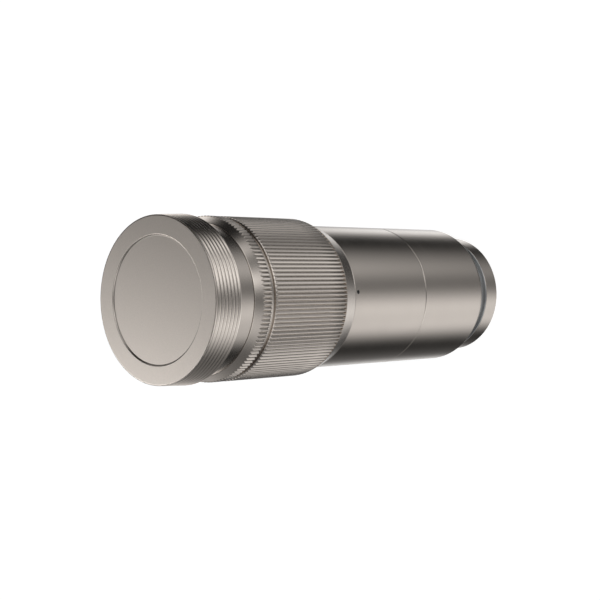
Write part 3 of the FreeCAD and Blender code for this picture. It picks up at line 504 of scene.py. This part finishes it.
def grain_group():
    """Fine blasted grain: a small and a smaller noise, as a value and as a bumped normal."""
    tree, source, result = group(
        "Blasted grain",
        [("Size", "Float", 0.2), ("Depth", "Float", 0.01), ("Normal", "Vector", None)],
        [("Grain", "Float"), ("Normal", "Vector")],
    )
    where = tree.nodes.new("ShaderNodeTexCoord").outputs["Object"]
    scale = maths(tree, "DIVIDE", 1 / MM, source.outputs["Size"])
    coarse = node(tree, "ShaderNodeTexNoise", {"Vector": where, "Scale": scale, "Detail": 2.0,
                                               "Roughness": 0.6})
    fine_scale = maths(tree, "MULTIPLY", scale, 2.7)
    fine = node(tree, "ShaderNodeTexNoise", {"Vector": where, "Scale": fine_scale, "Detail": 1.0})
    grain = maths(tree, "ADD", maths(tree, "MULTIPLY", coarse.outputs[0], 0.65),
                  maths(tree, "MULTIPLY", fine.outputs[0], 0.35))
    depth = maths(tree, "MULTIPLY", source.outputs["Depth"], MM)
    bump = node(tree, "ShaderNodeBump", {"Strength": 1.0, "Distance": depth, "Height": grain,
                                         "Normal": source.outputs["Normal"]})
    tree.links.new(grain, result.inputs["Grain"])
    tree.links.new(bump.outputs[0], result.inputs["Normal"])
    return tree


def turning_group():
    """Lathe marks: noise that changes fast with height and radius and slowly round the axis."""
    tree, source, result = group(
        "Turning marks",
        [("Width", "Float", 0.1), ("Depth", "Float", 0.002), ("Normal", "Vector", None)],
        [("Marks", "Float"), ("Normal", "Vector")],
    )
    where = tree.nodes.new("ShaderNodeTexCoord").outputs["Object"]
    split = node(tree, "ShaderNodeSeparateXYZ", {0: where})
    x, y, z = split.outputs
    square = maths(tree, "ADD", maths(tree, "MULTIPLY", x, x), maths(tree, "MULTIPLY", y, y))
    radius = maths(tree, "SQRT", square)
    scale = maths(tree, "DIVIDE", 1 / MM, source.outputs["Width"])
    flat_x = maths(tree, "DIVIDE", x, maths(tree, "ADD", radius, 1e-4))
    flat_y = maths(tree, "DIVIDE", y, maths(tree, "ADD", radius, 1e-4))
    across = maths(tree, "MULTIPLY", maths(tree, "ADD", z, maths(tree, "MULTIPLY", radius, 1.7)), scale)
    spot = node(tree, "ShaderNodeCombineXYZ", {0: maths(tree, "MULTIPLY", flat_x, 2.2),
                                               1: maths(tree, "MULTIPLY", flat_y, 2.2), 2: across})
    noise = node(tree, "ShaderNodeTexNoise", {"Vector": spot.outputs[0], "Scale": 1.0, "Detail": 3.0,
                                              "Roughness": 0.6})
    depth = maths(tree, "MULTIPLY", source.outputs["Depth"], MM)
    bump = node(tree, "ShaderNodeBump", {"Strength": 1.0, "Distance": depth, "Height": noise.outputs[0],
                                         "Normal": source.outputs["Normal"]})
    tree.links.new(noise.outputs[0], result.inputs["Marks"])
    tree.links.new(bump.outputs[0], result.inputs["Normal"])
    return tree


def handling_and_shade_group():
    """Faint smudges, edge wear and painted shade: a wide noise, and the piece's own edge marks split in two.
    """
    tree, source, result = group(
        "Handling and shade",
        [("Size", "Float", 9.0)],
        [("Smudge", "Float"), ("Outer edge", "Float"), ("Inner edge", "Float")],
    )
    where = tree.nodes.new("ShaderNodeTexCoord").outputs["Object"]
    scale = maths(tree, "DIVIDE", 1 / MM, source.outputs["Size"])
    wide = node(tree, "ShaderNodeTexNoise", {"Vector": where, "Scale": scale, "Detail": 4.0,
                                             "Roughness": 0.55, "Distortion": 0.4})
    tree.links.new(ramped(tree, wide.outputs[0], 0.35, 0.68, smooth=True), result.inputs["Smudge"])
    edge = node(tree, "ShaderNodeAttribute", attribute_name="edge").outputs["Fac"]
    worn = ramped(tree, edge, 0.15, 1.0)
    # inner corners' marks, which the metals use as painted shade
    hollow_shade = ramped(tree, maths(tree, "MULTIPLY", edge, -1.0), 0.1, 1.0)
    tree.links.new(worn, result.inputs["Outer edge"])
    tree.links.new(hollow_shade, result.inputs["Inner edge"])
    return tree


GRAIN = grain_group()
TURNING = turning_group()
HANDLING_AND_SHADE = handling_and_shade_group()

# Factors on a metal's colour where it is worn, or darker as painted shade in inner corners and on the
# collar's neck, and changes of its roughness
WORN_LIGHTER = 1.45
INNER_SHADE_DARKER = 0.45
INNER_SHADE_SHARE = 0.6
WORN_SMOOTHER = 0.05
TURNED_SMOOTHER = 0.12
NECK_ROUGHER = 0.2
NECK_SHADE_GREY = (0.46, 0.47, 0.475, 1)
BAND_EDGE = 0.05

FIBRES_PER_METRE = 5200.0


def placed(tree, shared, inputs):
    """A shared node group placed in a material, with its inputs."""
    return node(tree, "ShaderNodeGroup", inputs, node_tree=shared)


def material(name):
    """A new node material with its Principled shader."""
    made = bpy.data.materials.new(name)
    made.use_nodes = True
    return made, made.node_tree, made.node_tree.nodes["Principled BSDF"]


def between(tree, value, low, high, soft):
    """A mask that is 1 between two values and falls off softly outside them."""
    rise = ramped(tree, value, low - soft, low + soft)
    fall = ramped(tree, value, high - soft, high + soft, 1.0, 0.0)
    return maths(tree, "MULTIPLY", rise, fall)


def height_band(tree, band):
    """A mask that is 1 between two heights in millimetres."""
    where = tree.nodes.new("ShaderNodeTexCoord").outputs["Object"]
    height = node(tree, "ShaderNodeSeparateXYZ", {0: where}).outputs[2]
    return between(tree, height, band[0] * MM, band[1] * MM, BAND_EDGE * MM)


def metal(name, colour, roughness, grain=(0.16, 0.004), turning=(0.09, 0.0006), contrast=0.06,
          wear=0.5, smudge=0.035, lathe=0.015, painted_shade_band=None, turned_band=None):
    """A turned and blasted metal: grain and lathe marks in its normal, smudges in its gloss, painted shade in
    its inner corners.

    A painted-shade band is a pair of heights between which the metal is painted a darker grey as shade,
    as on the collar's neck, and a turned band a pair between which the cutter left it smoother, as the
    cap's ridges are.
    """
    made, tree, shader = material(name)
    marks = placed(tree, TURNING, {"Width": turning[0], "Depth": turning[1]})
    blast = placed(tree, GRAIN, {"Size": grain[0], "Depth": grain[1], "Normal": marks.outputs["Normal"]})
    hands_and_shade = placed(tree, HANDLING_AND_SHADE, {})
    dark = tuple(c * (1 - contrast) for c in colour) + (1,)
    light = tuple(min(c * (1 + contrast), 1) for c in colour) + (1,)
    base = mixed(tree, ramped(tree, blast.outputs["Grain"], 0.3, 0.7), dark, light)
    polished = tuple(min(c * WORN_LIGHTER, 1) for c in colour) + (1,)
    painted_shade_colour = tuple(c * INNER_SHADE_DARKER for c in colour) + (1,)
    base = mixed(tree, maths(tree, "MULTIPLY", hands_and_shade.outputs["Outer edge"], wear), base, polished)
    # painted shade: inner corners, grooves and thread roots are mixed towards a darker copy of the metal
    base = mixed(tree, maths(tree, "MULTIPLY", hands_and_shade.outputs["Inner edge"], INNER_SHADE_SHARE), base, painted_shade_colour)
    gloss = maths(tree, "ADD", roughness, maths(tree, "MULTIPLY", hands_and_shade.outputs["Smudge"], smudge))
    if turned_band:
        band = height_band(tree, turned_band)
        gloss = maths(tree, "SUBTRACT", gloss, maths(tree, "MULTIPLY", band, TURNED_SMOOTHER))
    # painted shade: the neck's band is mixed to a darker grey
    if painted_shade_band:
        band = height_band(tree, painted_shade_band)
        base = mixed(tree, band, base, NECK_SHADE_GREY)
        gloss = maths(tree, "ADD", gloss, maths(tree, "MULTIPLY", band, NECK_ROUGHER))
    tree.links.new(base, shader.inputs["Base Color"])
    shader.inputs["Metallic"].default_value = 1.0
    gloss = maths(tree, "ADD", gloss, ramped(tree, marks.outputs["Marks"], 0.3, 0.7, -lathe, lathe))
    smoother = maths(tree, "MULTIPLY", hands_and_shade.outputs["Outer edge"], WORN_SMOOTHER * wear)
    gloss = maths(tree, "SUBTRACT", gloss, smoother)
    tree.links.new(gloss, shader.inputs["Roughness"])
    tree.links.new(blast.outputs["Normal"], shader.inputs["Normal"])
    return made


def matt_black(name, colour, roughness, grain):
    """Black anodising or enamel: a dielectric skin with a fine grain and faint smudges."""
    made, tree, shader = material(name)
    marks = placed(tree, TURNING, {"Width": 0.12, "Depth": 0.0008})
    blast = placed(tree, GRAIN, {"Size": grain[0], "Depth": grain[1], "Normal": marks.outputs["Normal"]})
    hands_and_shade = placed(tree, HANDLING_AND_SHADE, {})
    dark = tuple(c * 0.75 for c in colour) + (1,)
    light = tuple(c * 1.3 for c in colour) + (1,)
    base = mixed(tree, ramped(tree, blast.outputs["Grain"], 0.3, 0.7), dark, light)
    bare = tuple(min(c * 4 + 0.02, 1) for c in colour) + (1,)
    base = mixed(tree, maths(tree, "MULTIPLY", hands_and_shade.outputs["Outer edge"], 0.35), base, bare)
    tree.links.new(base, shader.inputs["Base Color"])
    gloss = maths(tree, "ADD", roughness, maths(tree, "MULTIPLY", hands_and_shade.outputs["Smudge"], 0.06))
    tree.links.new(gloss, shader.inputs["Roughness"])
    tree.links.new(blast.outputs["Normal"], shader.inputs["Normal"])
    return made


def coated_glass(name, tint):
    """Polished glass with a thin coloured coat, and faint smudges in its gloss."""
    made, tree, shader = material(name)
    hands_and_shade = placed(tree, HANDLING_AND_SHADE, {"Size": 5.0})
    pale = (0.93, 0.97, 0.96, 1)
    base = mixed(tree, maths(tree, "MULTIPLY", hands_and_shade.outputs["Smudge"], 0.2), pale, tint)
    tree.links.new(base, shader.inputs["Base Color"])
    tree.links.new(ramped(tree, hands_and_shade.outputs["Smudge"], 0.0, 1.0, 0.0, 0.02), shader.inputs["Roughness"])
    shader.inputs["Transmission Weight"].default_value = 1.0
    shader.inputs["IOR"].default_value = 1.52
    shader.inputs["Specular Tint"].default_value = tint
    return made


def felt(name):
    """Short black felt: matted fibres as a stretched noise, with a soft sheen."""
    made, tree, shader = material(name)
    where = tree.nodes.new("ShaderNodeTexCoord").outputs["Object"]
    fibre = node(tree, "ShaderNodeTexNoise", {"Vector": where, "Scale": FIBRES_PER_METRE, "Detail": 6.0,
                                              "Roughness": 0.7, "Distortion": 1.6})
    base = mixed(tree, fibre.outputs[0], (0.012, 0.012, 0.013, 1), (0.07, 0.068, 0.065, 1))
    tree.links.new(base, shader.inputs["Base Color"])
    bump = node(tree, "ShaderNodeBump", {"Strength": 1.0, "Distance": 0.0001, "Height": fibre.outputs[0]})
    tree.links.new(bump.outputs[0], shader.inputs["Normal"])
    shader.inputs["Roughness"].default_value = 1.0
    shader.inputs["Sheen Weight"].default_value = 0.4
    return made


TITANIUM = (0.62, 0.565, 0.515)
TITANIUM_BLASTED = (0.68, 0.62, 0.565)
SATIN = {"roughness": 0.17, "grain": (0.12, 0.0006), "turning": (0.08, 0.0006), "smudge": 0.02}
cap_metal = metal("cap_blasted", TITANIUM_BLASTED, 0.28, grain=(0.3, 0.002), turning=(0.2, 0.0),
                  contrast=0.07, wear=0.25, smudge=0.006, lathe=0.0,
                  turned_band=(CAP_REAR - 1.0, CAP_FACE - 0.65))
barrel_metal = metal("barrel_satin", TITANIUM, **SATIN)
collar_metal = metal("collar_satin", TITANIUM, **SATIN, painted_shade_band=(COLLAR_FRONT - 0.2, BARREL_REAR))
knurl_metal = metal("grip_satin", TITANIUM, 0.19, grain=(0.12, 0.0003), turning=(0.3, 0.0),
                    contrast=0.03, wear=0.15, smudge=0.01)
brass_metal = metal("brass_turned", (0.72, 0.56, 0.28), 0.3)
steel_metal = metal("steel_turned", (0.56, 0.56, 0.57), 0.28)
anodised = matt_black("black_anodising", (0.014, 0.014, 0.015), 0.42, (0.1, 0.004))
enamel = matt_black("black_enamel", (0.006, 0.006, 0.006), 0.25, (0.3, 0.002))
white_plastic = matt_black("washer_plastic", (0.62, 0.61, 0.58), 0.5, (0.2, 0.003))
front_glass = coated_glass("front_coating", (0.55, 0.82, 0.72, 1))
rear_glass = coated_glass("rear_coating", (0.72, 0.62, 0.9, 1))
felt_lining = felt("felt_black")

NODE_FINISH = {
    "main_barrel": barrel_metal, "mount_collar": collar_metal,
    "index_mark": enamel, "clamp_ring": brass_metal, "friction_washer": white_plastic,
    "stop_pin": steel_metal, "cap_lining": felt_lining,
    "front_element": front_glass, "doublet_crown": front_glass, "doublet_flint": front_glass,
    "rear_meniscus": rear_glass, "rear_doublet_positive": rear_glass, "rear_doublet_negative": rear_glass,
    "front_retaining_ring": anodised, "objective_spacer": anodised, "cell_baffle": anodised,
    "seam_baffle": anodised, "rear_cell": anodised, "rear_spacer": anodised, "rear_retaining_ring": anodised,
}
for number in (1, 2, 3):
    NODE_FINISH[f"guide_screw_{number}"] = steel_metal
    NODE_FINISH[f"boss_screw_{number}"] = steel_metal


def finish_with(piece, finish):
    """Gives a mesh one material in place of those it has."""
    piece.data.materials.clear()
    piece.data.materials.append(finish)


for name, finish in NODE_FINISH.items():
    finish_with(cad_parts[name], finish)

# maker, finish, body it rides on, node it replaces, material slot
for maker, finish, body, replaced, slot in (
    (make_front_cap, cap_metal, "front_cap", "front_cap", "titanium_grey"),
    (make_focus_ring, knurl_metal, "focus_ring", "focus_ring", "titanium_grey"),
    (make_objective_barrel, barrel_metal, "objective", "objective_barrel", "titanium_grey"),
    (make_rear_barrel, barrel_metal, "barrel", "rear_barrel", "titanium_grey"),
    (make_thread_boss, anodised, "barrel", "phone_thread_boss", "black_anodised"),
):
    piece = maker()
    finish_with(piece, finish)
    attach(piece, body)
    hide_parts(replaced)


# Stage: floor, studio light and camera

FLOOR_HALF = 3.0
FLOOR_GREY = (0.4, 0.4, 0.4, 1)
FLOOR_GLOW = 0.91
WHITE = (1, 1, 1, 1)
AMBIENT = 0.015


def make_floor():
    """A wide flat floor, white to the camera and clear from below.

    Its glow and its lit grey together pass white under the soft lights, so the lens's shadow hardly shows.
    """
    mesh = bpy.data.meshes.new("floor")
    corners = [(x * FLOOR_HALF, y * FLOOR_HALF, 0) for x, y in ((-1, -1), (1, -1), (1, 1), (-1, 1))]
    mesh.from_pydata(corners, [], [(0, 1, 2, 3)])
    floor = bpy.data.objects.new("floor", mesh)
    bpy.context.scene.collection.objects.link(floor)
    made = bpy.data.materials.new("floor_white")
    made.use_nodes = True
    tree = made.node_tree
    tree.nodes.clear()
    diffuse = node(tree, "ShaderNodeBsdfDiffuse", {"Color": FLOOR_GREY})
    glow = node(tree, "ShaderNodeEmission", {"Color": WHITE, "Strength": FLOOR_GLOW})
    kept = node(tree, "ShaderNodeAddShader", {0: diffuse.outputs[0], 1: glow.outputs[0]})
    path = tree.nodes.new("ShaderNodeLightPath")
    clear = tree.nodes.new("ShaderNodeBsdfTransparent")
    front = maths(tree, "SUBTRACT", 1.0, tree.nodes.new("ShaderNodeNewGeometry").outputs["Backfacing"])
    shown = maths(tree, "MULTIPLY", path.outputs["Is Camera Ray"], front)
    seen = node(tree, "ShaderNodeMixShader", {0: shown, 1: clear.outputs[0], 2: kept.outputs[0]})
    out = tree.nodes.new("ShaderNodeOutputMaterial")
    tree.links.new(seen.outputs[0], out.inputs["Surface"])
    mesh.materials.append(made)


# Soft lights of the studio: direction in the lens's frame, how narrow each is, and its strength. All but
# the last came out of a fit of the metal's reflections to the photograph. The last is the white sweep
# behind the lens.
SOFT_LIGHTS = [
    ((0.768, 0.584, -0.263), 52.3, 1.35),
    ((0.605, -0.796, 0.018), 39.1, 1.35),
    ((-0.196, 0.816, 0.544), 44.0, 1.35),
    ((-0.259, 0.797, 0.546), 38.6, 1.35),
    ((-0.244, 0.782, 0.573), 55.0, 1.35),
    ((-0.716, 0.610, -0.341), 55.0, 1.35),
    ((0.398, -0.417, 0.817), 30.8, 1.28),
    ((-0.544, -0.832, -0.105), 11.2, 1.21),
    ((0.459, -0.868, -0.190), 15.1, 1.20),
    ((0.280, -0.719, 0.636), 50.9, 1.19),
    ((0.770, -0.329, 0.548), 53.1, 1.09),
    ((0.412, 0.449, -0.793), 55.0, 1.08),
    ((-0.155, -0.042, -0.987), 45.9, 1.00),
    ((-0.477, -0.486, 0.733), 15.7, 0.95),
    ((0.174, 0.924, -0.339), 55.0, 0.94),
    ((-0.251, -0.559, -0.790), 27.4, 0.88),
    ((-0.521, -0.303, -0.798), 44.9, 0.75),
    ((0.667, 0.742, -0.061), 32.9, 0.60),
    ((-0.243, 0.646, -0.723), 55.0, 0.58),
    ((-0.585, -0.808, -0.071), 17.7, 0.56),
    ((0.849, 0.485, -0.209), 49.4, 0.53),
    ((0.475, -0.547, -0.690), 27.5, 0.48),
    ((-0.839, 0.517, -0.169), 17.5, 0.44),
    ((-0.926, 0.163, 0.341), 11.7, 0.16),
    ((0.656, -0.287, -0.698), 44.6, 0.15),
    ((-0.536, 0.447, -0.717), 39.7, 0.09),
    ((0.328, -0.075, -0.942), 55.0, 0.07),
    ((0.030, 0.560, -0.830), 40.0, 0.75),
]


def make_world():
    """White behind everything for the camera and through glass; for the lens, soft lights that fade.

    A light gives its strength times e to the power narrow (cos a - 1), where a is the angle from its
    direction, and the lights are added to a weak even light.
    """
    world = bpy.data.worlds.new("studio")
    bpy.context.scene.world = world
    world.use_nodes = True
    tree = world.node_tree
    tree.nodes.clear()
    where = node(tree, "ShaderNodeVectorMath", {0: tree.nodes.new("ShaderNodeTexCoord").outputs["Generated"]},
                 operation="NORMALIZE").outputs[0]
    total = AMBIENT
    for direction, narrow, strength in SOFT_LIGHTS:
        length = math.sqrt(sum(c * c for c in direction))
        aim = tuple(c / length for c in direction)
        dot = node(tree, "ShaderNodeVectorMath", {0: where, 1: aim}, operation="DOT_PRODUCT").outputs["Value"]
        power = maths(tree, "MULTIPLY", maths(tree, "SUBTRACT", dot, 1.0), narrow)
        lobe = maths(tree, "MULTIPLY", maths(tree, "EXPONENT", power), strength)
        total = maths(tree, "ADD", lobe, total)
    studio = node(tree, "ShaderNodeBackground", {"Color": WHITE, "Strength": total})
    white = node(tree, "ShaderNodeBackground", {"Color": WHITE, "Strength": 1.0})
    path = tree.nodes.new("ShaderNodeLightPath")
    plain = maths(tree, "ADD", path.outputs["Is Camera Ray"], path.outputs["Is Transmission Ray"], clamp=True)
    seen = node(tree, "ShaderNodeMixShader", {0: plain, 1: studio.outputs[0], 2: white.outputs[0]})
    out = tree.nodes.new("ShaderNodeOutputWorld")
    tree.links.new(seen.outputs[0], out.inputs["Surface"])


# The camera in metres, with its focal length and sensor in millimetres
CAMERA_PLACE = (-0.01508, -0.29927, 0.41382)
CAMERA_FORWARD = (0.03155, 0.66788, -0.7436)
CAMERA_UP = (0.99773, -0.06538, -0.01638)
FOCAL_LENGTH = 85.56
SENSOR_WIDTH = 36.0


def make_camera():
    """The photograph's view: the lens lies across the picture, seen from in front and above its axis."""
    data = bpy.data.cameras.new("camera")
    data.lens = FOCAL_LENGTH
    data.sensor_width = SENSOR_WIDTH
    data.clip_start = 0.02
    data.clip_end = 30.0
    camera = bpy.data.objects.new("camera", data)
    forward = np.array(CAMERA_FORWARD)
    up = np.array(CAMERA_UP)
    forward /= np.linalg.norm(forward)
    up -= forward * np.dot(up, forward)
    up /= np.linalg.norm(up)
    right = np.cross(forward, up)
    turn = Matrix((right, up, -forward)).transposed()
    camera.matrix_world = Matrix.Translation(CAMERA_PLACE) @ turn.to_4x4()
    bpy.context.scene.collection.objects.link(camera)
    bpy.context.scene.camera = camera


make_floor()
make_world()
make_camera()
bpy.context.scene.view_settings.view_transform = "Standard"
